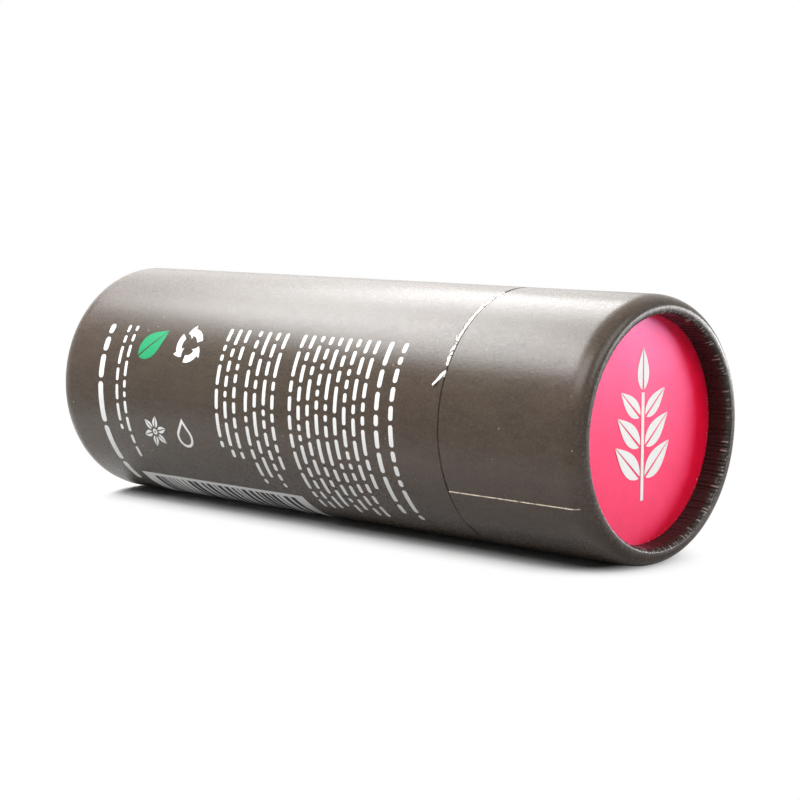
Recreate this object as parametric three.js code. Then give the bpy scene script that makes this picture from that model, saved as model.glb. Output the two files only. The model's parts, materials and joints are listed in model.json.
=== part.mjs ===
// A round paper tube for a small cosmetic bottle, lying on its side, in millimetres.
// +X runs along the tube from its base to its cap, +Z is up, and the origin is on the surface
// that the tube lies on, under the middle of its length.
//
// The body and the cap are two paperboard tubes of one outside diameter. Each is covered with
// printed paper, has its closed end rolled inwards to a rim, and is shut by a board disc with a
// paper facing, held under the rim's lip. An inner tube is glued into the body and stands out of
// its mouth as a neck, and the cap slides over that neck.

import * as THREE from "three";

// Driving dimensions
const OUTSIDE_DIAMETER = 40;
const TOTAL_LENGTH = 116;
const CAP_LENGTH = 26; // from the cap's mouth to the crest of its rim
const SEAM_GAP = 0.25; // between the mouths of the closed cap and the body

// Papers and boards, and the film of glue between two of them
const COVER_PAPER = 0.2;
const TUBE_BOARD = 1.0;
const DISC_BOARD = 1.5;
const FACING_PAPER = 0.2;
const NECK_PAPER = 0.15;
const NECK_BOARD = 0.8;
const GLUE_LINE = 0.05;

// The rolled rim: a long quarter turn from the wall to the crest, a flat that the tube can stand
// on, a tight quarter turn from the crest to the lip, and the straight lip down to the facing
const OUTER_ROLL_LENGTH = 3.2; // along the tube
const CREST_FLAT = 0.5;
const INNER_ROLL_WIDTH = 0.7; // across the wall
const INNER_ROLL_LENGTH = 1.7; // along the tube
const LIP_LENGTH = 2.0;
const ROLL_SLOT = 0.5; // the slit between the wall and the board folded in behind it

// Clearances
const NECK_CLEARANCE = 0.15; // radial, so that the cap slides over the neck
const DISC_CLEARANCE = 0.1; // radial, so that a disc drops into its tube
const NECK_HEADROOM = 5.0; // from the end of the neck to the inside of the closed cap

// How many flats make up a full circle, and each of the rim's turns
const TUBE_FLATS = 48;
const OUTER_ROLL_FLATS = 6;
const INNER_ROLL_FLATS = 4;
const SLOT_FLATS = 4;

// Radii, from the outside in
const tubeRadius = OUTSIDE_DIAMETER / 2;
const coverDepth = COVER_PAPER + GLUE_LINE;
const wallThickness = coverDepth + TUBE_BOARD;
const tubeBore = tubeRadius - wallThickness;
const neckRadius = tubeBore - NECK_CLEARANCE;
const neckBoardRadius = neckRadius - NECK_PAPER - GLUE_LINE;
const neckBore = neckBoardRadius - NECK_BOARD;
const discRadius = tubeBore - DISC_CLEARANCE;

// The rim is two walls thick, with the slot between them.
const rimWidth = 2 * wallThickness + ROLL_SLOT;
const outerRollWidth = rimWidth - CREST_FLAT - INNER_ROLL_WIDTH;
const slotRadius = ROLL_SLOT / 2;
const slotMiddle = tubeBore - slotRadius;

// Depths below the crest of a rim
const lipDepth = INNER_ROLL_LENGTH + LIP_LENGTH;
const facingDepth = lipDepth + GLUE_LINE;
const discDepth = facingDepth + FACING_PAPER + GLUE_LINE;
const insideDepth = discDepth + DISC_BOARD;
const slotDepth = wallThickness + slotRadius;

// Lengths from the mouths, which meet at the seam
const bodyLength = TOTAL_LENGTH - CAP_LENGTH - SEAM_GAP;
const neckFoot = bodyLength - insideDepth - GLUE_LINE;
const neckStand = SEAM_GAP + CAP_LENGTH - insideDepth - NECK_HEADROOM;

// The flats of a round piece touch its true radius, so its corners lie a little outside it.
const halfFlat = Math.PI / TUBE_FLATS;
const cornerFactor = 1 / Math.cos(halfFlat);

const finish = (color, roughness) => new THREE.MeshStandardMaterial({ color, roughness, metalness: 0 });
const darkPaper = () => finish(0x3d3732, 0.5);
const redPaper = () => finish(0xd3112f, 0.4);
const greyBoard = () => finish(0xa89c8a, 0.9);
const kraftPaper = () => finish(0xb08a5c, 0.8);

// Turns an outline of [radius, height] points about the Y axis. It ends on the axis or where it began.
function turned(outline) {
  const points = outline.map(([radius, height]) => new THREE.Vector2(radius * cornerFactor, height));
  return new THREE.LatheGeometry(points, TUBE_FLATS, halfFlat, 2 * Math.PI);
}

// A straight ring between two radii and two heights.
function ring(innerRadius, outerRadius, low, high) {
  return turned([
    [innerRadius, low],
    [outerRadius, low],
    [outerRadius, high],
    [innerRadius, high],
    [innerRadius, low],
  ]);
}

// A solid disc between two heights.
function disc(radius, low, high) {
  return turned([
    [0, low],
    [radius, low],
    [radius, high],
    [0, high],
  ]);
}

// Points on an elliptical arc about a centre [radius, height], between two angles from the outside.
function arc([middleRadius, middleHeight], width, length, from, to, flats) {
  const points = [];
  for (let step = 0; step <= flats; step++) {
    const angle = from + ((to - from) * step) / flats;
    points.push([middleRadius + width * Math.cos(angle), middleHeight + length * Math.sin(angle)]);
  }
  return points;
}

// The path of a wall and its rim at some depth under the surface, from the mouth at height 0 over
// the crest at length to the end of the lip.
function rolledPath(length, depth) {
  const crestOutside = tubeRadius - outerRollWidth;
  const crestInside = crestOutside - CREST_FLAT;
  const quarter = Math.PI / 2;
  const outerWidth = outerRollWidth - depth;
  const outerLength = OUTER_ROLL_LENGTH - depth;
  const innerWidth = INNER_ROLL_WIDTH - depth;
  const innerLength = INNER_ROLL_LENGTH - depth;
  const outerMiddle = [crestOutside, length - OUTER_ROLL_LENGTH];
  const innerMiddle = [crestInside, length - INNER_ROLL_LENGTH];
  return [
    [tubeRadius - depth, 0],
    ...arc(outerMiddle, outerWidth, outerLength, 0, quarter, OUTER_ROLL_FLATS),
    ...arc(innerMiddle, innerWidth, innerLength, quarter, 2 * quarter, INNER_ROLL_FLATS),
    [crestInside - innerWidth, length - lipDepth],
  ];
}

// The inside of the board: up the wall, around the top of the slot, and down the back of the lip.
function boardInside(length) {
  const slotTop = [slotMiddle, length - slotDepth];
  return [
    [tubeBore, 0],
    ...arc(slotTop, slotRadius, slotRadius, 0, Math.PI, SLOT_FLATS),
    [slotMiddle - slotRadius, length - lipDepth],
  ];
}

// A closed wall between two paths that run the same way.
function wall(outside, inside) {
  return turned([...outside, ...inside.reverse(), outside[0]]);
}

function piece(name, geometry, surface) {
  const mesh = new THREE.Mesh(geometry, surface);
  mesh.name = name;
  return mesh;
}

// What the body and the cap have in common, with the mouth at height 0 and the crest at length.
function closedTube(name, endName, length, facingSurface) {
  const tube = new THREE.Group();
  const cover = wall(rolledPath(length, 0), rolledPath(length, COVER_PAPER));
  const board = wall(rolledPath(length, coverDepth), boardInside(length));
  const facingTop = length - facingDepth;
  const discTop = length - discDepth;
  tube.add(
    piece(`${name}_cover_paper`, cover, darkPaper()),
    piece(`${name}_board_tube`, board, greyBoard()),
    piece(`${endName}_facing`, disc(discRadius, facingTop - FACING_PAPER, facingTop), facingSurface),
    piece(`${endName}_disc`, disc(discRadius, discTop - DISC_BOARD, discTop), greyBoard()),
  );
  return tube;
}

// The inner tube and its paper, from the end of the neck to the base disc.
function neck() {
  const inner = new THREE.Group();
  inner.add(
    piece("neck_tube", ring(neckBore, neckBoardRadius, -neckStand, neckFoot), kraftPaper()),
    piece("neck_paper", ring(neckRadius - NECK_PAPER, neckRadius, -neckStand, neckFoot), kraftPaper()),
  );
  return inner;
}

// The body points to -X and the cap to +X, and their axis lies one radius above the surface.
const capMouth = TOTAL_LENGTH / 2 - CAP_LENGTH;
const bodyMouth = capMouth - SEAM_GAP;

const body = closedTube("body", "base", bodyLength, darkPaper());
body.add(neck());
body.position.set(bodyMouth, 0, tubeRadius);
body.rotation.z = Math.PI / 2;

const cap = closedTube("cap", "cap", CAP_LENGTH, redPaper());
cap.position.set(capMouth, 0, tubeRadius);
cap.rotation.z = -Math.PI / 2;

const paperTube = new THREE.Group();
paperTube.add(body, cap);

export default paperTube;
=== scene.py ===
import json
import math
import random

import bmesh
import bpy
from mathutils import Matrix, Vector, noise


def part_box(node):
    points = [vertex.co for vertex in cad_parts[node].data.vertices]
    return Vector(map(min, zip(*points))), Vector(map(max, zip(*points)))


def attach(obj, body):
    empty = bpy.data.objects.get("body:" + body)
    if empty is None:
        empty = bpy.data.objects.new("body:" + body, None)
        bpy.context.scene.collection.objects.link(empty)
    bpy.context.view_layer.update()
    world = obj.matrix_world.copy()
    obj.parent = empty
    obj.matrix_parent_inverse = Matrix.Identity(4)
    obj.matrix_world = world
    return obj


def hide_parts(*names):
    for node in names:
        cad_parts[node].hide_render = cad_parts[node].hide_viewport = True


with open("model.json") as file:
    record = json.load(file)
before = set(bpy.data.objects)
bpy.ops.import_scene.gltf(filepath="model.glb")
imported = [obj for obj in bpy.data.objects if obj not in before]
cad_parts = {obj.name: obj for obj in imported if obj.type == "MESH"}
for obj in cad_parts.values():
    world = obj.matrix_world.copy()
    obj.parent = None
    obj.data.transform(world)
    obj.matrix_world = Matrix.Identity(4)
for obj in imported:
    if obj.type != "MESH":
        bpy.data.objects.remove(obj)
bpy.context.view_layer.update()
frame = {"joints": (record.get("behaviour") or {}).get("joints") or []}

# A round paper tube lies on its side along X, its cap at +X. Sizes are in millimetres in the
# frame's axes, and become metres where something is made. An angle around the tube counts from
# its front, the side that faces -Y, upwards.
MM = 0.001
FULL_TURN = 2 * math.pi
QUARTER_TURN = math.pi / 2
RNG = random.Random(11)


def box_mm(node):
    low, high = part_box(node)
    return low / MM, high / MM


body_low, body_high = box_mm("body_cover_paper")
cap_low, cap_high = box_mm("cap_cover_paper")
TUBE_RADIUS = (body_high.z - body_low.z) / 2
AXIS_HEIGHT = body_low.z + TUBE_RADIUS
BASE_CREST, BODY_MOUTH = body_low.x, body_high.x
CAP_MOUTH, CAP_CREST = cap_low.x, cap_high.x
FACE_X = box_mm("cap_facing")[1].x
CAP_TRAVEL = frame["joints"][0]["range_m"][1] / MM

# Papers, boards and the rolled rim, as in the frame
COVER_PAPER = 0.2
GLUE_LINE = 0.05
TUBE_BOARD = 1.0
NECK_PAPER = 0.15
NECK_BOARD = 0.8
OUTER_ROLL_LENGTH = 3.2
CREST_FLAT = 0.5
INNER_ROLL_WIDTH = 0.7
INNER_ROLL_LENGTH = 1.7
LIP_LENGTH = 2.0
ROLL_SLOT = 0.5
COVER_DEPTH = COVER_PAPER + GLUE_LINE
WALL = COVER_DEPTH + TUBE_BOARD
TUBE_BORE = TUBE_RADIUS - WALL
OUTER_ROLL_WIDTH = 2 * WALL + ROLL_SLOT - CREST_FLAT - INNER_ROLL_WIDTH
CREST_OUTSIDE = TUBE_RADIUS - OUTER_ROLL_WIDTH
CREST_INSIDE = CREST_OUTSIDE - CREST_FLAT
LIP_RADIUS = CREST_INSIDE - INNER_ROLL_WIDTH
LIP_DEPTH = INNER_ROLL_LENGTH + LIP_LENGTH

# How fine the round pieces are, and how sharp an edge stays unsmoothed
COLUMNS = 640
PLAIN_COLUMNS = 240
CREASE = math.radians(50)


# Meshes

def on_tube(x, radius, angle):
    y = -radius * math.cos(angle)
    z = AXIS_HEIGHT + radius * math.sin(angle)
    return Vector((x, y, z)) * MM


def make_piece(name, points, faces, materials, paints=None):
    mesh = bpy.data.meshes.new(name)
    mesh.from_pydata(points, [], faces)
    for material in materials:
        mesh.materials.append(material)
    if paints:
        mesh.polygons.foreach_set("material_index", paints)
    shell = bmesh.new()
    shell.from_mesh(mesh)
    bmesh.ops.recalc_face_normals(shell, faces=shell.faces)
    shell.to_mesh(mesh)
    shell.free()
    mesh.shade_smooth()
    mesh.set_sharp_from_angle(angle=CREASE)
    piece = bpy.data.objects.new(name, mesh)
    bpy.context.collection.objects.link(piece)
    return piece


def even_angles(columns):
    return [FULL_TURN * column / columns for column in range(columns)]


def column_at(angle):
    return round(angle / FULL_TURN * COLUMNS) % COLUMNS


def turned(name, outline, angles, materials, paint=None, wear_and_glint=None, twist=0.0):
    """Turns outline(angle), a list of (x, radius) points, about the tube's axis.

    The outline closes on itself, or starts and ends on the axis. paint(row, angle, next_angle) gives
    the material of the face after a row, and the function after it, called with (row, angle), how far
    a point is rubbed pale or carries a painted glint.
    twist turns each point by so much per millimetre.
    """
    columns = len(angles)
    rings = [outline(angle) for angle in angles]
    rows = len(rings[0])
    points = []
    rubbed = []
    index = {}
    for column, angle in enumerate(angles):
        for row, (x, radius) in enumerate(rings[column]):
            if radius == 0 and column > 0:
                index[column, row] = index[0, row]
                continue
            index[column, row] = len(points)
            points.append(on_tube(x, radius, angle + twist * x))
            rubbed.append(wear_and_glint(row, angle) if wear_and_glint else 0.0)
    faces = []
    paints = []
    for column in range(columns):
        after = (column + 1) % columns
        for row in range(rows):
            below = (row + 1) % rows
            corners = [index[column, row], index[column, below], index[after, below], index[after, row]]
            face = list(dict.fromkeys(corners))
            if len(face) < 3:
                continue
            faces.append(face)
            paints.append(paint(row, angles[column], angles[after]) if paint else 0)
    piece = make_piece(name, points, faces, materials, paints)
    if wear_and_glint:
        attribute = piece.data.attributes.new("wear_and_glint", "FLOAT", "POINT")
        attribute.data.foreach_set("value", rubbed)
    return piece


def smooth_step(low, high, value):
    """Rises smoothly from 0 at low to 1 at high."""
    share = min(max((value - low) / (high - low), 0.0), 1.0)
    return share * share * (3 - 2 * share)


def spread(low, high, steps):
    """Evenly spaced values from low to high, both included."""
    return [low + (high - low) * step / steps for step in range(steps + 1)]


# Materials

class Finish:
    """Short calls that build one node material on a Principled shader."""

    def __init__(self, name, roughness=0.5):
        self.material = bpy.data.materials.new(name)
        self.material.use_nodes = True
        self.tree = self.material.node_tree
        self.shader = self.tree.nodes["Principled BSDF"]
        self.shader.inputs["Roughness"].default_value = roughness
        self.place = self.add("ShaderNodeTexCoord").outputs["Object"]

    def add(self, kind, **settings):
        node = self.tree.nodes.new(kind)
        for key, value in settings.items():
            setattr(node, key, value)
        return node

    def link(self, source, target):
        self.tree.links.new(source, target)

    def stretched(self, stretch):
        node = self.add("ShaderNodeMapping")
        node.inputs["Scale"].default_value = stretch
        self.link(self.place, node.inputs["Vector"])
        return node.outputs["Vector"]

    def noise(self, size, detail=3.0, roughness=0.55, stretch=None):
        node = self.add("ShaderNodeTexNoise")
        node.inputs["Scale"].default_value = 1 / (size * MM)
        node.inputs["Detail"].default_value = detail
        node.inputs["Roughness"].default_value = roughness
        self.link(self.stretched(stretch) if stretch else self.place, node.inputs["Vector"])
        return node.outputs["Fac"]

    def from_cells(self, size):
        """Distance from the middle of the nearest of scattered cells, in cells."""
        node = self.add("ShaderNodeTexVoronoi")
        node.inputs["Scale"].default_value = 1 / (size * MM)
        self.link(self.place, node.inputs["Vector"])
        return node.outputs["Distance"]

    def from_middle(self):
        """Distance from the middle of the tube's length."""
        node = self.add("ShaderNodeSeparateXYZ")
        self.link(self.place, node.inputs["Vector"])
        return self.maths("ABSOLUTE", node.outputs["X"])

    def from_axis(self):
        """Distance from the tube's axis."""
        node = self.add("ShaderNodeMapping")
        node.inputs["Location"].default_value = (0, 0, -AXIS_HEIGHT * MM)
        node.inputs["Scale"].default_value = (0, 1, 1)
        self.link(self.place, node.inputs["Vector"])
        length = self.add("ShaderNodeVectorMath", operation="LENGTH")
        self.link(node.outputs["Vector"], length.inputs[0])
        return length.outputs["Value"]

    def wear_and_glint(self):
        """How far the surface is rubbed pale or carries a painted glint, from the mesh."""
        return self.add("ShaderNodeAttribute", attribute_name="wear_and_glint").outputs["Fac"]

    def ramp(self, value, low, high, start=0.0, end=1.0):
        """Goes from start at low to end at high."""
        node = self.add("ShaderNodeMapRange")
        limits = {"From Min": low, "From Max": high, "To Min": start, "To Max": end}
        for socket, number in limits.items():
            node.inputs[socket].default_value = number
        self.link(value, node.inputs["Value"])
        return node.outputs["Result"]

    def maths(self, operation, first, second=0.0):
        node = self.add("ShaderNodeMath", operation=operation)
        for socket, value in zip(node.inputs, (first, second)):
            if isinstance(value, (int, float)):
                socket.default_value = value
            else:
                self.link(value, socket)
        return node.outputs["Value"]

    def mix(self, factor, first, second):
        node = self.add("ShaderNodeMix", data_type="RGBA")
        self.link(factor, node.inputs["Factor"])
        for socket, value in ((node.inputs[6], first), (node.inputs[7], second)):
            if isinstance(value, tuple):
                socket.default_value = (*value, 1)
            else:
                self.link(value, socket)
        return node.outputs[2]

    def colour(self, value):
        self.link(value, self.shader.inputs["Base Color"])

    def rough(self, value):
        self.link(value, self.shader.inputs["Roughness"])

    def shine(self, level, tint=(1, 1, 1)):
        self.shader.inputs["Specular IOR Level"].default_value = level
        self.shader.inputs["Specular Tint"].default_value = (*tint, 1)

    def bump(self, height, distance):
        node = self.add("ShaderNodeBump")
        node.inputs["Distance"].default_value = distance * MM
        self.link(height, node.inputs["Height"])
        self.link(node.outputs["Normal"], self.shader.inputs["Normal"])


# A cover is scuffed from WORN_FROM to its ends, and between two radii inside its rolled rim its
# colour is painted darker: painted shade over the rolled rim and down the recess wall
WORN_FROM = 0.97 * CAP_CREST
RECESS_SHADE_INSIDE = LIP_RADIUS - 0.3
RECESS_SHADE_OUTSIDE = CREST_OUTSIDE + 1.4
RECESS_SHADE_SHARE = 0.85

# The red facing is flecked outside this radius
FLECKED_FROM = 0.955 * LIP_RADIUS


def printed_paper():
    """Dark satin cover paper: mottled ink, a fine tooth, pale specks, wear along its edges, rubbed crimp
    ridges that also carry painted glints, and painted shade inside its rolled rim.
    """
    finish = Finish("printed_paper")
    mottle = finish.noise(6.0, detail=4.0, roughness=0.6)
    tooth = finish.noise(0.34, detail=2.0, roughness=0.5)
    fibre = finish.noise(1.1, detail=4.0, roughness=0.65, stretch=(0.3, 1.0, 1.0))
    warmth = finish.ramp(finish.noise(32.0, detail=1.0), 0.38, 0.62)
    dark = finish.mix(warmth, (0.041, 0.030, 0.020), (0.044, 0.029, 0.021))
    light = finish.mix(warmth, (0.054, 0.040, 0.027), (0.058, 0.038, 0.027))
    mottled = finish.mix(finish.ramp(mottle, 0.32, 0.68), dark, light)
    fibrous = finish.mix(finish.ramp(fibre, 0.40, 0.75, end=0.45), mottled, (0.083, 0.063, 0.045))
    toothed = finish.mix(finish.ramp(tooth, 0.45, 0.75, end=0.55), fibrous, (0.096, 0.073, 0.053))
    small = finish.ramp(finish.from_cells(2.2), 0.075, 0.035)
    rare = finish.ramp(finish.noise(6.0, detail=1.0), 0.52, 0.60)
    specked = finish.mix(finish.maths("MULTIPLY", small, rare), toothed, (0.38, 0.345, 0.30))
    # Painted shade: between two radii inside the rolled rim the colour is mixed towards near black
    radius = finish.from_axis()
    past_facing = finish.ramp(radius, RECESS_SHADE_INSIDE * MM, LIP_RADIUS * MM)
    short_of_wall = finish.ramp(radius, RECESS_SHADE_OUTSIDE * MM, CREST_INSIDE * MM, end=RECESS_SHADE_SHARE)
    recess_shade = finish.maths("MULTIPLY", past_facing, short_of_wall)
    recess_shaded = finish.mix(recess_shade, specked, (0.012, 0.008, 0.006))
    rim = finish.ramp(finish.from_middle(), WORN_FROM * MM, CAP_CREST * MM)
    scuffs = finish.ramp(finish.noise(0.45, detail=4.0, roughness=0.7), 0.52, 0.74, end=0.5)
    scuffed = finish.mix(finish.maths("MULTIPLY", rim, scuffs), recess_shaded, (0.17, 0.15, 0.13))
    # Rubbed crimp ridges: pale wear that also stands for painted glints on the ridges
    patches = finish.ramp(finish.noise(2.4, roughness=0.6), 0.30, 0.62, 0.15, 0.95)
    rubbed = finish.maths("MULTIPLY", finish.wear_and_glint(), patches)
    finish.colour(finish.mix(rubbed, scuffed, (0.42, 0.385, 0.34)))
    finish.rough(finish.ramp(finish.noise(0.6, detail=4.0), 0.3, 0.7, 0.25, 0.33))
    finish.shine(0.26)
    finish.bump(finish.maths("ADD", tooth, fibre), 0.016)
    return finish.material


def bare_paper():
    """The white core of the paper, where it is torn."""
    finish = Finish("bare_paper", 0.9)
    fibre = finish.noise(0.16, detail=4.0, roughness=0.7)
    finish.colour(finish.mix(finish.ramp(fibre, 0.3, 0.6), (0.72, 0.68, 0.62), (0.95, 0.94, 0.91)))
    finish.bump(fibre, 0.06)
    return finish.material


def cut_edge():
    """The cut edge of a paper: its pale core, in places rubbed dark by the ink."""
    finish = Finish("cut_edge", 0.8)
    rubbed = finish.noise(1.3, detail=5.0, roughness=0.7)
    fibre = finish.noise(0.2)
    pale = finish.mix(finish.ramp(fibre, 0.35, 0.65), (0.36, 0.29, 0.21), (0.70, 0.62, 0.50))
    finish.colour(finish.mix(finish.ramp(rubbed, 0.50, 0.66), pale, (0.10, 0.078, 0.062)))
    return finish.material


def red_paper():
    """Satin red facing paper with a fine grain, and pale flecks where its edge was cut."""
    finish = Finish("red_paper")
    mottle = finish.noise(2.2, detail=4.0, roughness=0.6)
    grain = finish.noise(0.22, roughness=0.6)
    red = finish.mix(finish.ramp(mottle, 0.3, 0.7), (0.80, 0.002, 0.020), (0.90, 0.004, 0.040))
    grained = finish.mix(finish.ramp(grain, 0.52, 0.80, end=0.25), red, (0.94, 0.04, 0.20))
    edge = finish.ramp(finish.from_axis(), FLECKED_FROM * MM, LIP_RADIUS * MM)
    flecks = finish.ramp(finish.noise(0.35, detail=4.0, roughness=0.7), 0.60, 0.68)
    finish.colour(finish.mix(finish.maths("MULTIPLY", edge, flecks), grained, (0.86, 0.62, 0.58)))
    finish.rough(finish.ramp(grain, 0.3, 0.7, 0.30, 0.38))
    finish.shine(0.65, tint=(1.0, 0.25, 1.0))
    finish.bump(finish.maths("ADD", grain, mottle), 0.010)
    return finish.material


def board(name, pulp_size, dark, light, fleck):
    """Wound paperboard or paper: matt, fibrous, with flecks of darker pulp."""
    finish = Finish(name, 0.85)
    pulp = finish.noise(pulp_size, detail=6.0, roughness=0.65)
    flecks = finish.noise(0.4, roughness=0.6, stretch=(0.25, 1.0, 1.0))
    tooth = finish.noise(0.25, detail=4.0, roughness=0.7)
    base = finish.mix(finish.ramp(pulp, 0.3, 0.7), dark, light)
    finish.colour(finish.mix(finish.ramp(flecks, 0.62, 0.76, end=0.6), base, fleck))
    finish.bump(finish.maths("ADD", flecks, tooth), 0.018)
    return finish.material


def ink(name, full, thin):
    """Ink printed on paper, thin in places."""
    finish = Finish(name, 0.55)
    grain = finish.noise(0.16, roughness=0.7)
    finish.colour(finish.mix(finish.ramp(grain, 0.54, 0.78), full, thin))
    finish.shine(0.2)
    finish.bump(grain, 0.006)
    return finish.material


PRINTED = printed_paper()
BARE = bare_paper()
CUT_EDGE = cut_edge()
RED = red_paper()
GREY_BOARD = board(
    "grey_board", pulp_size=1.6,
    dark=(0.33, 0.295, 0.24), light=(0.44, 0.40, 0.335), fleck=(0.19, 0.165, 0.14),
)
KRAFT_BOARD = board(
    "kraft_board", pulp_size=2.4,
    dark=(0.32, 0.205, 0.112), light=(0.40, 0.265, 0.150), fleck=(0.21, 0.125, 0.065),
)
KRAFT_PAPER = board(
    "kraft_paper", pulp_size=3.2,
    dark=(0.36, 0.235, 0.130), light=(0.43, 0.290, 0.168), fleck=(0.25, 0.155, 0.085),
)
WHITE_INK = ink("white_ink", full=(0.80, 0.80, 0.79), thin=(0.50, 0.48, 0.46))
GREEN_INK = ink("green_ink", full=(0.015, 0.32, 0.13), thin=(0.02, 0.19, 0.08))
DARK_INK = ink("dark_ink", full=(0.03, 0.026, 0.03), thin=(0.08, 0.07, 0.07))


# The cover papers

# The lap, where a cover's end lies over its start: its upper ply keeps its height over a share of
# the lap's width and then runs out
LAP_STEP = 0.15
LAP_WIDTH = 9.0
LAP_FULL_SHARE = 0.6
LAP_SLOPE = 0.09
CAP_LAP_ANGLE = math.radians(-28.4)
BODY_LAP_ANGLE = math.radians(200)

# Slow waves in the surface, mostly inwards, and the share of them and of the lap that is pressed
# out on the way to the crest
UNEVENNESS = 0.025
UNEVEN_LENGTH = 15
UNEVEN_AROUND = 1.7
PRESSED_OUT = 0.8

# The torn strip along the body's mouth. Places on it are in degrees around the tube.
TEAR_WIDTH = 0.19
TEAR_RAGGED = 0.17
TEAR_FINE = 0.15
TEAR_STARTS = (25, 30)
TEAR_ENDS = (73, 79)
TEAR_BREAKS = (-0.52, -0.34)
TEAR_DEPTH = 0.05
TEAR_SINKS = (0.03, 0.10)
BARE_FROM = 0.07
NICK_AT = 23.6
NICK_REACH = 1.6
NICK_WIDTH = 0.5
NICK_FINE = 0.4

# The crimps inside a rim, so many columns apart, and the ridges beside them that are rubbed pale,
# the pale marks also standing for painted glints on the ridges
CRIMP_DEPTH = 0.17
CRIMP_LEAST_SHARE = 0.25
CRIMP_SPACING = (3, 5)
CRIMP_RUNS_IN = 0.35
RUB_AND_GLINT_SHARE = 0.65
RUB_AND_GLINT_FROM_CREST = (1, 4)
RUB_AND_GLINT_ROWS = (2, 7)
RIDGE_OFFSET = 2

# Rows of points at a mouth: the shares of the bevel and of the torn strip in a row's height, and the
# share of the bevel by which it lies under the surface. The first TORN_ROWS sink with the tear.
MOUTH_BEVEL = 0.12
MOUTH_ROWS = ((0.0, 0.0, 1.0), (0.4, 0.6, 0.3), (1.0, 1.0, 0.0), (1.5, 1.0, 0.0), (3.0, 1.0, 0.0))
TORN_ROWS = 3

# Rows past the mouth: the wall's, from a height clear of the tear, the rim's two turns and the lip's.
# The cut edge of the lap shows on the first rows of the rim.
FIRST_WALL_ROW = 2.6
BODY_ROW_STEP = 1.5
CAP_ROW_STEP = 0.75
TURN_STEPS = 12
LIP_STEPS = 5
LAP_ROWS_ON_RIM = 3

# Steps of the rim's two turns under the surface
HIDDEN_OUTER_STEPS = 6
HIDDEN_INNER_STEPS = 5


def unevenness(x, angle):
    around = Vector((x / UNEVEN_LENGTH, UNEVEN_AROUND * math.cos(angle), UNEVEN_AROUND * math.sin(angle)))
    return UNEVENNESS * (noise.noise(around) - 0.5)


def lap_height(angle, edge):
    """How far the lapped ply lifts the surface below the lap's edge."""
    behind = (edge - angle) % FULL_TURN * TUBE_RADIUS
    return LAP_STEP * (1 - smooth_step(LAP_FULL_SHARE * LAP_WIDTH, LAP_WIDTH, behind))


def along_tear(degrees, waves, row, layer):
    """Noise along the tear, with so many waves to a degree, in a row and layer of its own."""
    return noise.noise(Vector((degrees * waves, row, layer)))


def torn_width(angle):
    """Width of the torn strip along the body's mouth, with a nick at its lower end."""
    degrees = (math.degrees(angle) + 180) % 360 - 180
    ragged = along_tear(degrees, waves=0.9, row=4.2, layer=0.7)
    fine = along_tear(degrees, waves=3.7, row=9.1, layer=2.3)
    unbroken = smooth_step(*TEAR_BREAKS, along_tear(degrees, waves=0.45, row=1.3, layer=5.1))
    strip = (TEAR_WIDTH + TEAR_RAGGED * ragged + TEAR_FINE * fine) * unbroken
    strip *= smooth_step(*TEAR_STARTS, degrees) * (1 - smooth_step(*TEAR_ENDS, degrees))
    nick = (NICK_WIDTH + NICK_FINE * fine) * max(0.0, 1 - abs(degrees - NICK_AT) / NICK_REACH)
    return max(strip, nick, 0.0)


def crimp_depths():
    """One depth for each column: narrow creases of unlike depth, unevenly spaced."""
    depths = [0.0] * COLUMNS
    column = 0
    while column < COLUMNS:
        depths[column] = CRIMP_DEPTH * RNG.uniform(CRIMP_LEAST_SHARE, 1.0)
        column += RNG.randint(*CRIMP_SPACING)
    return depths


def rub_and_glint_rows(crest_row):
    """The rows of a crimp's ridge that are rubbed pale with a painted glint, from a little past the crest.
    """
    if RNG.random() > RUB_AND_GLINT_SHARE:
        return ()
    first = crest_row + RNG.randint(*RUB_AND_GLINT_FROM_CREST)
    return range(first, first + RNG.randint(*RUB_AND_GLINT_ROWS))


def rolled_path(length, depth):
    """The path of a wall and its rim at some depth under the surface, as (height, radius) points,
    from the mouth at height 0 over the crest at length to the end of the lip."""
    path = [(0.0, TUBE_RADIUS - depth)]
    for turn in spread(0, QUARTER_TURN, HIDDEN_OUTER_STEPS):
        height = length - OUTER_ROLL_LENGTH + (OUTER_ROLL_LENGTH - depth) * math.sin(turn)
        path.append((height, CREST_OUTSIDE + (OUTER_ROLL_WIDTH - depth) * math.cos(turn)))
    for turn in spread(QUARTER_TURN, 2 * QUARTER_TURN, HIDDEN_INNER_STEPS):
        height = length - INNER_ROLL_LENGTH + (INNER_ROLL_LENGTH - depth) * math.sin(turn)
        path.append((height, CREST_INSIDE + (INNER_ROLL_WIDTH - depth) * math.cos(turn)))
    path.append((length - LIP_DEPTH, LIP_RADIUS + depth))
    return path


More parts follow.
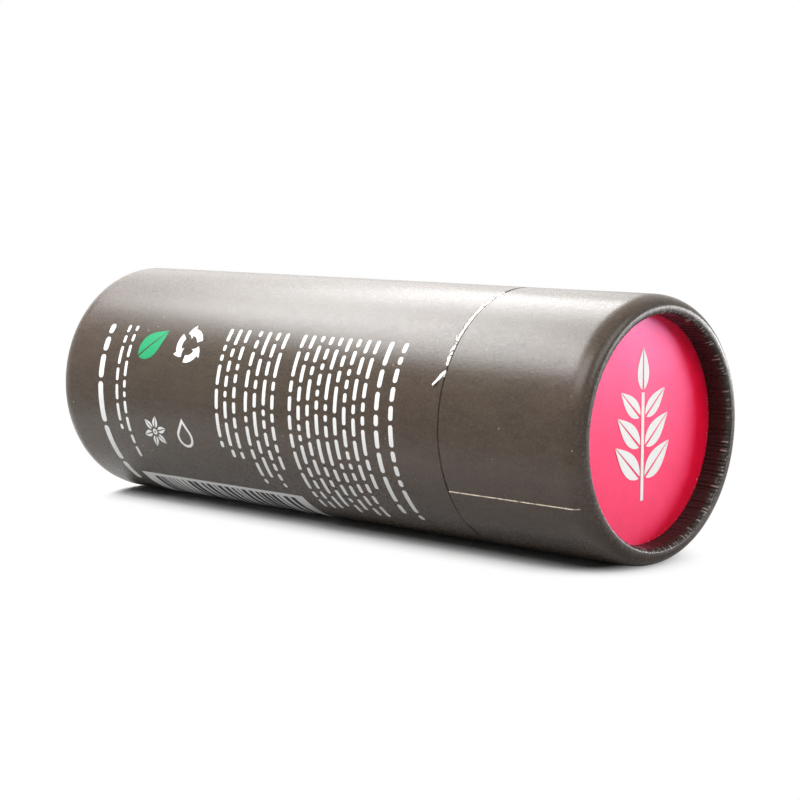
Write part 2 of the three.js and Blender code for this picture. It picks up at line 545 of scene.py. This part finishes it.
def cover_paper(name, mouth, crest, lap_angle, row_step, torn=None):
    """A cover with its rolled rim, its lap and the crimps inside the rim."""
    length = abs(crest - mouth)
    away = math.copysign(1.0, crest - mouth)
    wall_end = length - OUTER_ROLL_LENGTH
    lip_start = length - INNER_ROLL_LENGTH
    wall_rows = spread(FIRST_WALL_ROW, wall_end, round((wall_end - FIRST_WALL_ROW) / row_step))
    lip_rows = spread(lip_start, length - LIP_DEPTH, LIP_STEPS)[1:]
    outer_turn = spread(0, QUARTER_TURN, TURN_STEPS)[1:]
    inner_turn = spread(QUARTER_TURN, 2 * QUARTER_TURN, TURN_STEPS)
    crimps = crimp_depths()

    def outline(angle):
        lap = lap_height(angle, lap_angle)
        bare = torn(angle) if torn else 0.0
        sunk = TEAR_DEPTH * smooth_step(*TEAR_SINKS, bare)
        crimp = crimps[column_at(angle)]
        path = []

        def wall(height, lower=0.0):
            x = mouth + away * height
            path.append((x, TUBE_RADIUS + lap + unevenness(x, angle) - lower))

        for row, (bevels, tears, under) in enumerate(MOUTH_ROWS):
            lower = max(under * MOUTH_BEVEL, sunk) if row < TORN_ROWS else 0.0
            wall(bevels * MOUTH_BEVEL + tears * bare, lower)
        for height in wall_rows:
            wall(height)
        for turn in outer_turn:
            fade = 1 - PRESSED_OUT * turn / QUARTER_TURN
            x = mouth + away * (wall_end + OUTER_ROLL_LENGTH * math.sin(turn))
            radius = CREST_OUTSIDE + OUTER_ROLL_WIDTH * math.cos(turn)
            path.append((x, radius + fade * (lap + unevenness(x, angle))))
        for turn in inner_turn:
            press = crimp * smooth_step(0.0, CRIMP_RUNS_IN, turn / QUARTER_TURN - 1)
            height = lip_start + INNER_ROLL_LENGTH * math.sin(turn) - press * math.sin(turn)
            radius = CREST_INSIDE + INNER_ROLL_WIDTH * math.cos(turn) - press * math.cos(turn)
            path.append((mouth + away * height, radius))
        for height in lip_rows:
            path.append((mouth + away * height, LIP_RADIUS + crimp))
        back = reversed(rolled_path(length, COVER_PAPER))
        return path + [(mouth + away * height, radius) for height, radius in back]

    last_row = len(outline(0.0)) - 1
    rim_row = len(MOUTH_ROWS) + len(wall_rows)
    crest_row = rim_row + TURN_STEPS
    ridges = [rub_and_glint_rows(crest_row) if depth > 0 else () for depth in crimps]

    def wear_and_glint(row, angle):
        return float(row in ridges[(column_at(angle) + RIDGE_OFFSET) % COLUMNS])

    def paint(row, angle, after):
        # The cut ring at a mouth, the face after the last row, keeps the dark printed paper outside the
        # torn strip: painted shade for the gap at the joint
        if torn and (row < TORN_ROWS or row == last_row) and torn(angle) > BARE_FROM:
            return 1
        step = lap_height(angle, lap_angle) - lap_height(after, lap_angle)
        return 2 if abs(step) > LAP_STEP / 2 and row < rim_row + LAP_ROWS_ON_RIM else 0

    edge = lap_angle % FULL_TURN
    angles = sorted(even_angles(COLUMNS) + [edge, edge + LAP_SLOPE / TUBE_RADIUS])
    return turned(name, outline, angles, [PRINTED, BARE, CUT_EDGE], paint, wear_and_glint)


def dress(piece, body, node):
    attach(piece, body)
    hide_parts(node)


body_cover = cover_paper("body_cover", BODY_MOUTH, BASE_CREST, BODY_LAP_ANGLE, BODY_ROW_STEP, torn_width)
dress(body_cover, "body", "body_cover_paper")
cap_cover = cover_paper("cap_cover", CAP_MOUTH, CAP_CREST, CAP_LAP_ANGLE, CAP_ROW_STEP)
dress(cap_cover, "cap", "cap_cover_paper")


# Boards, discs and facings

PLIES = 4
PLY_GAP = 0.04
SLOT_STEPS = 8
DISC_RINGS = 12
DISC_SWELL = 0.03
SWELL_SIZE = 6


def ply_lines(outer, inner):
    """Points across a cut end, as (depth, radius), with a fine groove between each two plies."""
    points = []
    for radius in spread(outer, inner, PLIES)[1:-1]:
        points += [(0.0, radius + PLY_GAP), (2 * PLY_GAP, radius), (0.0, radius - PLY_GAP)]
    return points


def board_tube(name, mouth, crest):
    """The board under a cover, with the slit inside its rolled rim."""
    length = abs(crest - mouth)
    away = math.copysign(1.0, crest - mouth)
    slot_radius = ROLL_SLOT / 2
    slot_middle = TUBE_BORE - slot_radius
    path = rolled_path(length, COVER_DEPTH)
    path.append((length - LIP_DEPTH, slot_middle - slot_radius))
    for turn in reversed(spread(0, 2 * QUARTER_TURN, SLOT_STEPS)):
        height = length - WALL - slot_radius + slot_radius * math.sin(turn)
        path.append((height, slot_middle + slot_radius * math.cos(turn)))
    path.append((0.0, TUBE_BORE))
    path += reversed(ply_lines(TUBE_RADIUS - COVER_DEPTH, TUBE_BORE))
    outline = [(mouth + away * height, radius) for height, radius in path]
    return turned(name, lambda angle: outline, even_angles(PLAIN_COLUMNS), [GREY_BOARD])


def disc(name, node, outside, material):
    """A disc of paper or board, very slightly uneven on its outer face, which looks to -X or +X."""
    low, high = box_mm(node)
    radius = (high.z - low.z) / 2
    outer, inner = (high.x, low.x) if outside > 0 else (low.x, high.x)
    rings = spread(0, radius, DISC_RINGS)

    def outline(angle):
        face = []
        for ring in rings:
            u = ring * math.cos(angle) / SWELL_SIZE
            v = ring * math.sin(angle) / SWELL_SIZE
            swell = DISC_SWELL * noise.noise(Vector((u, v, outer))) if ring > 0 else 0.0
            face.append((outer - outside * (DISC_SWELL + swell), ring))
        return face + [(inner, radius), (inner, 0)]

    return turned(name, outline, even_angles(PLAIN_COLUMNS), [material])


dress(board_tube("body_board", BODY_MOUTH, BASE_CREST), "body", "body_board_tube")
dress(board_tube("cap_board", CAP_MOUTH, CAP_CREST), "cap", "cap_board_tube")
dress(disc("cap_face", "cap_facing", 1, RED), "cap", "cap_facing")
dress(disc("base_face", "base_facing", -1, PRINTED), "body", "base_facing")
dress(disc("cap_end_board", "cap_disc", 1, GREY_BOARD), "cap", "cap_disc")
dress(disc("base_end_board", "base_disc", -1, GREY_BOARD), "body", "base_disc")


# The neck: a paper and a board tube wound on a slant, each with a slit where its turns meet

SLIT_DEPTH = 0.08
WIND = math.radians(2.4)
WOUND_ROWS = 60
SLEEVE_SEAM = math.radians(-55)
CORE_SEAM = math.radians(95)


def wound_tube(name, node, thickness, seam, material):
    """A tube wound on a slant. seam is where its slit crosses the middle of the object's length."""
    low, high = box_mm(node)
    outer = (high.z - low.z) / 2
    inner = outer - thickness
    rows = spread(low.x, high.x, WOUND_ROWS)

    def outline(angle):
        slit = SLIT_DEPTH if column_at(angle) == column_at(seam) else 0.0
        outside = [(x, outer - slit) for x in rows]
        end = [(high.x - depth, radius) for depth, radius in ply_lines(outer, inner)]
        inside = [(x, inner + slit) for x in reversed(rows)]
        return outside + end + inside

    return turned(name, outline, even_angles(COLUMNS), [material], twist=WIND)


neck_sleeve = wound_tube("neck_sleeve", "neck_paper", NECK_PAPER, SLEEVE_SEAM, KRAFT_PAPER)
dress(neck_sleeve, "body", "neck_paper")
neck_core = wound_tube("neck_core", "neck_tube", NECK_BOARD, CORE_SEAM, KRAFT_BOARD)
dress(neck_core, "body", "neck_tube")


# Flakes: thin pieces of ink or paper, each a ribbon between two edges

def arc_mm(degrees):
    """Length around the tube, from its front."""
    return math.radians(degrees) * TUBE_RADIUS


def on_body(x, around, lift):
    angle = around / TUBE_RADIUS
    radius = TUBE_RADIUS + lap_height(angle, BODY_LAP_ANGLE) + unevenness(x, angle) + lift
    return on_tube(x, radius, angle)


def on_face(u, v, lift):
    return Vector((FACE_X + lift, u, AXIS_HEIGHT + v)) * MM


def flake_faces(start, steps, across, closed):
    """Faces of one flake whose points start at an index, row by row, the lower layer first."""
    wide = across + 1
    layer = steps * wide
    faces = []

    def corner(step, cell):
        return start + step % steps * wide + cell

    def side(near, far):
        faces.append((near, far, far + layer, near + layer))

    for step in range(steps if closed else steps - 1):
        for cell in range(across):
            near = [corner(step, cell), corner(step, cell + 1)]
            far = [corner(step + 1, cell + 1), corner(step + 1, cell)]
            faces.append(near + far)
            faces.append([index + layer for index in near + far])
        for cell in (0, across):
            side(corner(step, cell), corner(step + 1, cell))
    if not closed:
        for step in (0, steps - 1):
            for cell in range(across):
                side(corner(step, cell), corner(step, cell + 1))
    return faces


def flakes(name, ribbons, place, material, low, high, across=1, loops=()):
    """One piece of many flakes, each between two lifts off the surface that place puts it on.

    A ribbon is a list of pairs of (u, v) points, one on each edge. A loop is a ribbon whose last
    pair leads back to its first. across is how many faces a flake has from edge to edge.
    """
    points = []
    faces = []
    shares = spread(0, 1, across)
    for pairs, closed in [(pairs, False) for pairs in ribbons] + [(pairs, True) for pairs in loops]:
        faces += flake_faces(len(points), len(pairs), across, closed)
        for lift in (low, high):
            for (u0, v0), (u1, v1) in pairs:
                points.extend(place(u0 + (u1 - u0) * s, v0 + (v1 - v0) * s, lift) for s in shares)
    return make_piece(name, points, faces, [material])


# Shapes of print

INK_STEP = 0.6
ROUND_STEPS = 4
HOOP_STEPS = 40
LEAF_STEPS = 18
HEAD_STEPS = 6
DROP_STEPS = 30
SIDE_STEPS = 6
POINT_WIDTH = 0.01
VEIN_TAPER = 0.7
LEAF_FULLNESS = 0.75
HEAD_START = 0.03
HEAD_WIDTH = 1.05


def bar(x_low, x_high, around_low, around_high):
    steps = max(1, math.ceil((around_high - around_low) / INK_STEP))
    return [((x_low, v), (x_high, v)) for v in spread(around_low, around_high, steps)]


def rounded_bar(x, height, around_low, around_high):
    """A bar across x with half-round ends."""
    radius = height / 2
    pairs = []

    def across(v, half):
        pairs.append(((x - half, v), (x + half, v)))

    for turn in spread(-QUARTER_TURN, 0, ROUND_STEPS)[1:]:
        across(around_low + radius + radius * math.sin(turn), radius * math.cos(turn))
    steps = max(1, math.ceil((around_high - around_low - height) / INK_STEP))
    for v in spread(around_low + radius, around_high - radius, steps)[1:]:
        across(v, radius)
    for turn in spread(0, QUARTER_TURN, ROUND_STEPS)[1:-1]:
        across(around_high - radius + radius * math.sin(turn), radius * math.cos(turn))
    return pairs


def hoop(u, v, inner, outer, start, end):
    """A stretch of a ring between two angles in degrees."""
    pairs = []
    for degrees in spread(start, end, HOOP_STEPS):
        turn = math.radians(degrees)
        cosine, sine = math.cos(turn), math.sin(turn)
        pairs.append(((u + inner * cosine, v + inner * sine), (u + outer * cosine, v + outer * sine)))
    return pairs


def leaf_halves(base_u, base_v, direction, length, width, vein):
    """A leaf in two halves, with a gap along its middle that narrows towards the tip."""
    along = Vector((math.cos(direction), math.sin(direction)))
    side = Vector((-along.y, along.x))
    halves = []
    for sign in (-1, 1):
        pairs = []
        for share in spread(0.0, 1.0, LEAF_STEPS):
            middle = Vector((base_u, base_v)) + along * length * share
            inner = vein / 2 * (1 - VEIN_TAPER * share)
            belly = math.sin(math.pi * share ** LEAF_FULLNESS)
            outer = inner + (width - vein) / 2 * belly + POINT_WIDTH
            pairs.append((tuple(middle + side * sign * inner), tuple(middle + side * sign * outer)))
        halves.append(pairs)
    return halves


def arrow(u, v, inner, outer, start, end, head):
    """A stretch of a ring that ends in an arrowhead, which spans so many degrees."""
    pairs = hoop(u, v, inner, outer, start, end)
    middle = (inner + outer) / 2
    for share in spread(HEAD_START, 1, HEAD_STEPS):
        turn = math.radians(end + head * share)
        half = (outer - inner) * HEAD_WIDTH * (1 - share) + POINT_WIDTH
        low = (u + (middle - half) * math.cos(turn), v + (middle - half) * math.sin(turn))
        high = (u + (middle + half) * math.cos(turn), v + (middle + half) * math.sin(turn))
        pairs.append((low, high))
    return pairs


def drop_outline(u, v, radius, tip, line):
    """The outline of a drop that points to +v: most of a circle, closed by two straight sides."""
    lean = math.asin(radius / tip)
    turns = spread(lean, -math.pi - lean, DROP_STEPS)
    sides = spread(0, 1, SIDE_STEPS)
    edges = []
    for half in (radius - line, radius):
        point = Vector((u, v + tip * half / radius))
        round_part = [Vector((u + half * math.cos(turn), v + half * math.sin(turn))) for turn in turns]
        first_side = [point.lerp(round_part[0], share) for share in sides[:-1]]
        last_side = [round_part[-1].lerp(point, share) for share in sides[1:-1]]
        edges.append([tuple(corner) for corner in first_side + round_part + last_side])
    return list(zip(*edges))


# Print on the body: rows of bars, a striped panel and small figures. Places are along the tube and,
# in degrees, around it.

INK_BOTTOM, INK_TOP = 0.004, 0.012
STRIPE_BOTTOM, STRIPE_TOP = 0.008, 0.020

# A row is its place along the tube and the angle where it ends
WORDS = (1.1, 1.5, 1.9, 2.4, 2.9, 3.4, 4.2)
WORD_GAP = 0.6
LEAST_WORD = 1.0
SMALL_PRINT = 0.75
SIDE_PRINT = 0.7
TOP_PRINT = 0.9
BASE_PRINT = 1.3
BASE_START = 34
ROWS_START = 36.5
BASE_ROW = (-46.6, -58)
SIDE_ROWS = ((-42.2, -24), (-40.2, -38))
LOWER_ROWS = ((-16.7, -22), (-14.6, -30), (-12.5, -27), (-9.7, -41), (-7.6, -39), (-5.5, -42), (-3.5, -30))
BLOCK_X, BLOCK_PITCH, BLOCK_LINES = 0.5, 2.0, 9
BLOCK_END, BLOCK_LAST_END = -54, -36
TOP_ROWS = ((19.3, -52), (22.3, -54))

PANEL_X = (-43.7, -3.4)
PANEL_ANGLES = (-84, -47.5)
PANEL_CELLS = 40
STRIPES_X = (-41.0, -6.4)
STRIPE_ANGLES = (-77, -50)
STRIPE_WIDTHS = (0.36, 0.36, 0.7, 1.05)
STRIPE_GAPS = (0.36, 0.7, 0.7, 1.05)

LEAF_X, LEAF_ANGLE = -37.6, 18.5
LEAF_CELLS = 5
LOOP_X, LOOP_ANGLE = -25.5, 26
LOOP_ARROWS = (20, 140, 260)
ARROW_SWEEP = 66
FLOWER_X, FLOWER_ANGLE = -33.4, -18.5
PETALS = 6
FIRST_PETAL = 15
PETAL_FOOT = 0.85
DROP_X, DROP_ANGLE = -25.8, -19.5
MARK_CELLS = 2


def word_row(x, height, start, end):
    """Bars of unlike length in a row around the tube, like words with no letters."""
    bars = []
    here = arc_mm(start)
    last = arc_mm(end)
    while here > last + LEAST_WORD:
        size = min(RNG.choice(WORDS) * height / SMALL_PRINT, here - last)
        bars.append(rounded_bar(x, height, here - size, here))
        here -= size + WORD_GAP
    return bars


def word_rows():
    x, end = BASE_ROW
    bars = word_row(x, BASE_PRINT, BASE_START, end)
    for x, end in SIDE_ROWS:
        bars += word_row(x, SIDE_PRINT, BASE_START, end)
    for x, end in LOWER_ROWS:
        bars += word_row(x, SMALL_PRINT, ROWS_START, end)
    for line in range(BLOCK_LINES):
        end = BLOCK_END if line < BLOCK_LINES - 1 else BLOCK_LAST_END
        bars += word_row(BLOCK_X + BLOCK_PITCH * line, SMALL_PRINT, ROWS_START, end)
    for x, end in TOP_ROWS:
        bars += word_row(x, TOP_PRINT, ROWS_START, end)
    return bars


def panel():
    return bar(*PANEL_X, *map(arc_mm, PANEL_ANGLES))


def stripes():
    bars = []
    x, last = STRIPES_X
    while x < last:
        width = RNG.choice(STRIPE_WIDTHS)
        bars.append(bar(x, x + width, *map(arc_mm, STRIPE_ANGLES)))
        x += width + RNG.choice(STRIPE_GAPS)
    return bars


def arrow_loop():
    v = arc_mm(LOOP_ANGLE)
    arrows = []
    for start in LOOP_ARROWS:
        end = start + ARROW_SWEEP
        arrows.append(arrow(LOOP_X, v, inner=1.75, outer=3.05, start=start, end=end, head=34))
    return arrows


def flower():
    """Six petals around a ring, which is given apart because it is a loop."""
    v = arc_mm(FLOWER_ANGLE)
    petals = []
    for petal in range(PETALS):
        direction = math.radians(360 * petal / PETALS + FIRST_PETAL)
        foot_u = FLOWER_X + PETAL_FOOT * math.cos(direction)
        foot_v = v + PETAL_FOOT * math.sin(direction)
        petals += leaf_halves(foot_u, foot_v, direction, length=2.1, width=1.3, vein=0.3)
    return petals, hoop(FLOWER_X, v, inner=0.2, outer=0.55, start=0, end=360)[:-1]


def print_on_body():
    rows = flakes("print_rows", word_rows(), on_body, WHITE_INK, INK_BOTTOM, INK_TOP)
    backing = flakes("print_panel", [panel()], on_body, WHITE_INK, INK_BOTTOM, INK_TOP, PANEL_CELLS)
    bars = flakes("print_stripes", stripes(), on_body, DARK_INK, STRIPE_BOTTOM, STRIPE_TOP)
    halves = leaf_halves(LEAF_X, arc_mm(LEAF_ANGLE), math.radians(40), length=7.6, width=4.4, vein=0.35)
    leaf = flakes("print_leaf", halves, on_body, GREEN_INK, INK_BOTTOM, INK_TOP, LEAF_CELLS)
    petals, ring = flower()
    drop = drop_outline(DROP_X, arc_mm(DROP_ANGLE), radius=1.9, tip=3.4, line=0.5)
    figures = arrow_loop() + petals
    marks = flakes(
        "print_marks", figures, on_body, WHITE_INK, INK_BOTTOM, INK_TOP, MARK_CELLS, loops=(ring, drop),
    )
    for piece in (rows, backing, bars, leaf, marks):
        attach(piece, "body")


print_on_body()


# Slivers of paper that stand up along the tear

SLIVER_STEPS = 12
SLIVER_BOTTOM, SLIVER_TOP = -0.02, 0.05
SLIVER_TAPER = 0.6
SLIVER_RAGGED = 0.5
RAGGED_WAVES = 5
SMALL_SLIVERS = (29, 74)
SMALL_SLIVER_GAPS = 13


def sliver(degrees, lean, back, length, width, curl):
    """A tapered sliver that leaves the surface so far back from the mouth, leans by so many degrees
    from the tube's length, and curls up towards its tip."""
    u, v = BODY_MOUTH - back, arc_mm(degrees)
    direction = math.radians(lean)
    along = Vector((math.cos(direction), math.sin(direction)))
    side = Vector((-along.y, along.x))
    pairs = []
    for share in spread(0, 1, SLIVER_STEPS):
        middle = Vector((u, v)) + along * length * share
        half = side * (width / 2) * (1 - SLIVER_TAPER * share ** 2)
        near = 1 + SLIVER_RAGGED * noise.noise(Vector((share * RAGGED_WAVES, u, v)))
        far = 1 + SLIVER_RAGGED * noise.noise(Vector((share * RAGGED_WAVES, v, u)))
        pairs.append((tuple(middle - half * near), tuple(middle + half * far)))

    def place(point_u, point_v, lift):
        gone = (Vector((point_u, point_v)) - Vector((u, v))).dot(along) / length
        return on_body(point_u, point_v, lift + curl * max(gone, 0.0) ** 2)

    return flakes("sliver", [pairs], place, BARE, SLIVER_BOTTOM, SLIVER_TOP)


def torn_fibres():
    slivers = [
        sliver(24.4, lean=237, back=0.20, length=2.6, width=0.56, curl=0.30),
        sliver(21.4, lean=222, back=0.75, length=1.0, width=0.36, curl=0.16),
    ]
    for degrees in spread(*SMALL_SLIVERS, SMALL_SLIVER_GAPS):
        lean = RNG.uniform(65, 115) + RNG.choice((0, 180))
        back = RNG.uniform(0.15, 0.35)
        length = RNG.uniform(0.5, 1.5)
        width = RNG.uniform(0.08, 0.2)
        slivers.append(sliver(degrees, lean, back, length, width, curl=0.06))
    with bpy.context.temp_override(active_object=slivers[0], selected_editable_objects=slivers):
        bpy.ops.object.join()
    slivers[0].name = "torn_fibres"
    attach(slivers[0], "body")


torn_fibres()


# The sprig on the cap's facing

SPRIG_INK = 0.02
SPRIG_CELLS = 4
STEM_HALF = 0.35
STEM_ENDS = (-10.5, 5.5)
STEM_STEPS = 8
LEAF_PAIRS = ((-7.0, 7.6), (-2.4, 7.0), (2.0, 6.0))
LEAF_LEAN = math.radians(50)
LEAF_FOOT = 0.75
LEAF_WIDTH_SHARE = 0.46
LEAF_VEIN = 0.4
TOP_LEAF = 5.9


def sprig():
    """A stem with pairs of leaves, each pair at its height and of its length, and a leaf on top."""
    ribbons = [[((-STEM_HALF, v), (STEM_HALF, v)) for v in spread(*STEM_ENDS, STEM_STEPS)]]
    for height, length in LEAF_PAIRS:
        for side in (-1, 1):
            direction = QUARTER_TURN - side * LEAF_LEAN
            width = length * LEAF_WIDTH_SHARE
            ribbons += leaf_halves(side * LEAF_FOOT, height, direction, length, width, LEAF_VEIN)
    return ribbons + leaf_halves(0, TOP_LEAF, QUARTER_TURN, length=6.2, width=2.9, vein=LEAF_VEIN)


cap_sprig = flakes("cap_sprig", sprig(), on_face, WHITE_INK, 0.0, SPRIG_INK, SPRIG_CELLS)
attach(cap_sprig, "cap")


# Floor, light and camera

# The floor takes the shadow near two strips under the axis, one under the tube and one under the
# pulled cap, and runs out into white between two distances from them. Mirrored in the tube, it
# runs out further away.
SHADOW_CREST = CAP_CREST - 16
SHADOW_MOUTH = CAP_MOUTH + 8
SHADOW_STRIPS = ((BASE_CREST, SHADOW_CREST), (SHADOW_MOUTH + CAP_TRAVEL, SHADOW_CREST + CAP_TRAVEL))
SHADOW_NEAR = 10
SHADOW_FAR = 20
MIRRORED_NEAR = 20
MIRRORED_FAR = 70

# How pale the floor is near the tube, where it is painted darker as painted shadow, and further off,
# and how pale to light that bounces off it
FLOOR_SHADE = 0.6
FLOOR_WHITE = 0.96
FLOOR_BOUNCE = 0.35
FLOOR_HALF = 2000
AMBIENT = 0.15

CAMERA_AZIMUTH = math.radians(42.94)
CAMERA_ELEVATION = math.radians(6.64)
CAMERA_DISTANCE = 328.7
CAMERA_LENS = 89.68
CAMERA_SENSOR = 36
CAMERA_CLIP = 10
TARGET_RIGHT = 4.18
TARGET_UP = 0.09


def seen_directly(tree):
    """1 for rays from the camera and for those mirrored or let through on their way from it."""
    path = tree.nodes.new("ShaderNodeLightPath")
    total = path.outputs["Is Camera Ray"]
    for ray in ("Is Glossy Ray", "Is Transmission Ray"):
        either = tree.nodes.new("ShaderNodeMath")
        either.operation = "MAXIMUM"
        tree.links.new(total, either.inputs[0])
        tree.links.new(path.outputs[ray], either.inputs[1])
        total = either.outputs["Value"]
    return total


def white_world():
    world = bpy.data.worlds.new("studio")
    world.use_nodes = True
    bpy.context.scene.world = world
    tree = world.node_tree
    strength = tree.nodes.new("ShaderNodeMapRange")
    strength.inputs["To Min"].default_value = AMBIENT
    tree.links.new(seen_directly(tree), strength.inputs["Value"])
    background = tree.nodes["Background"]
    background.inputs["Color"].default_value = (1, 1, 1, 1)
    tree.links.new(strength.outputs["Result"], background.inputs["Strength"])


def from_strip(finish, start, end):
    """Distance on the floor from a stretch of the line under the tube's axis."""
    split = finish.add("ShaderNodeSeparateXYZ")
    finish.link(finish.place, split.inputs["Vector"])
    before = finish.maths("SUBTRACT", start * MM, split.outputs["X"])
    after = finish.maths("SUBTRACT", split.outputs["X"], end * MM)
    past = finish.maths("MAXIMUM", finish.maths("MAXIMUM", before, after), 0.0)
    join = finish.add("ShaderNodeCombineXYZ")
    finish.link(past, join.inputs["X"])
    finish.link(split.outputs["Y"], join.inputs["Y"])
    away = finish.add("ShaderNodeVectorMath", operation="LENGTH")
    finish.link(join.outputs["Vector"], away.inputs[0])
    return away.outputs["Value"]


def floor_material():
    """A floor that takes the shadow close to the tube and the pulled cap, is painted darker close to the
    tube to deepen that shadow, and runs out into white.
    """
    finish = Finish("floor", 0.9)
    finish.shine(0.1)
    seen = seen_directly(finish.tree)
    under_tube, under_pulled_cap = [from_strip(finish, *strip) for strip in SHADOW_STRIPS]
    # Painted shadow: the floor's colour is darker within SHADOW_FAR of the line under the tube and
    # lightens out to twice that
    shade = finish.ramp(under_tube, SHADOW_FAR * MM, 2 * SHADOW_FAR * MM, FLOOR_SHADE, FLOOR_WHITE)
    lift = finish.maths("MULTIPLY", seen, finish.maths("SUBTRACT", shade, FLOOR_BOUNCE))
    finish.colour(finish.maths("ADD", lift, FLOOR_BOUNCE))
    away = finish.maths("MINIMUM", under_tube, under_pulled_cap)
    fade = finish.ramp(away, SHADOW_NEAR * MM, SHADOW_FAR * MM)
    fade.node.interpolation_type = "SMOOTHSTEP"
    mirrored_fade = finish.ramp(away, MIRRORED_NEAR * MM, MIRRORED_FAR * MM)
    camera_ray = finish.add("ShaderNodeLightPath").outputs["Is Camera Ray"]
    direct = finish.maths("MULTIPLY", fade, camera_ray)
    mirrored = finish.maths("MULTIPLY", mirrored_fade, finish.maths("SUBTRACT", seen, camera_ray))
    white = finish.add("ShaderNodeEmission")
    blend = finish.add("ShaderNodeMixShader")
    finish.link(finish.maths("ADD", direct, mirrored), blend.inputs["Fac"])
    finish.link(finish.shader.outputs["BSDF"], blend.inputs[1])
    finish.link(white.outputs["Emission"], blend.inputs[2])
    finish.link(blend.outputs["Shader"], finish.tree.nodes["Material Output"].inputs["Surface"])
    return finish.material


def floor():
    half = FLOOR_HALF * MM
    corners = [(-half, -half, 0), (half, -half, 0), (half, half, 0), (-half, half, 0)]
    mesh = bpy.data.meshes.new("floor")
    mesh.from_pydata(corners, [], [(0, 1, 2, 3)])
    mesh.materials.append(floor_material())
    plane = bpy.data.objects.new("floor", mesh)
    bpy.context.collection.objects.link(plane)


def softbox(name, place, width, height, watts, target=(0, 0, AXIS_HEIGHT)):
    lamp = bpy.data.lights.new(name, "AREA")
    lamp.shape = "RECTANGLE"
    lamp.size = width * MM
    lamp.size_y = height * MM
    lamp.energy = watts
    holder = bpy.data.objects.new(name, lamp)
    holder.location = Vector(place) * MM
    holder.rotation_euler = (Vector(place) - Vector(target)).to_track_quat("Z", "Y").to_euler()
    bpy.context.collection.objects.link(holder)


def camera():
    azimuth, elevation = CAMERA_AZIMUTH, CAMERA_ELEVATION
    back = Vector((
        math.sin(azimuth) * math.cos(elevation),
        -math.cos(azimuth) * math.cos(elevation),
        math.sin(elevation),
    ))
    right = Vector((math.cos(azimuth), math.sin(azimuth), 0))
    up = back.cross(right)
    target = Vector((0, 0, AXIS_HEIGHT)) + right * TARGET_RIGHT + up * TARGET_UP
    turn = Matrix((right, up, back)).transposed().to_4x4()
    data = bpy.data.cameras.new("camera")
    data.sensor_width = CAMERA_SENSOR
    data.lens = CAMERA_LENS
    data.clip_start = CAMERA_CLIP * MM
    view = bpy.data.objects.new("camera", data)
    view.matrix_world = Matrix.Translation((target + back * CAMERA_DISTANCE) * MM) @ turn
    bpy.context.collection.objects.link(view)
    bpy.context.scene.camera = view


white_world()
floor()
softbox("top_light", (-330, 30, 420), width=740, height=200, watts=4.2, target=(0, 30, 20))
softbox("side_light", (-290, -170, 420), width=440, height=160, watts=1.6)
softbox("back_light", (-500, 320, 300), width=560, height=300, watts=0.7)
softbox("front_light", (20, -360, 420), width=300, height=260, watts=1.9)
softbox("end_light", (250, 410, 42), width=320, height=70, watts=1.4)
softbox("face_light", (400, 0, 340), width=400, height=240, watts=1.5)
camera()
bpy.context.scene.view_settings.view_transform = "Standard"
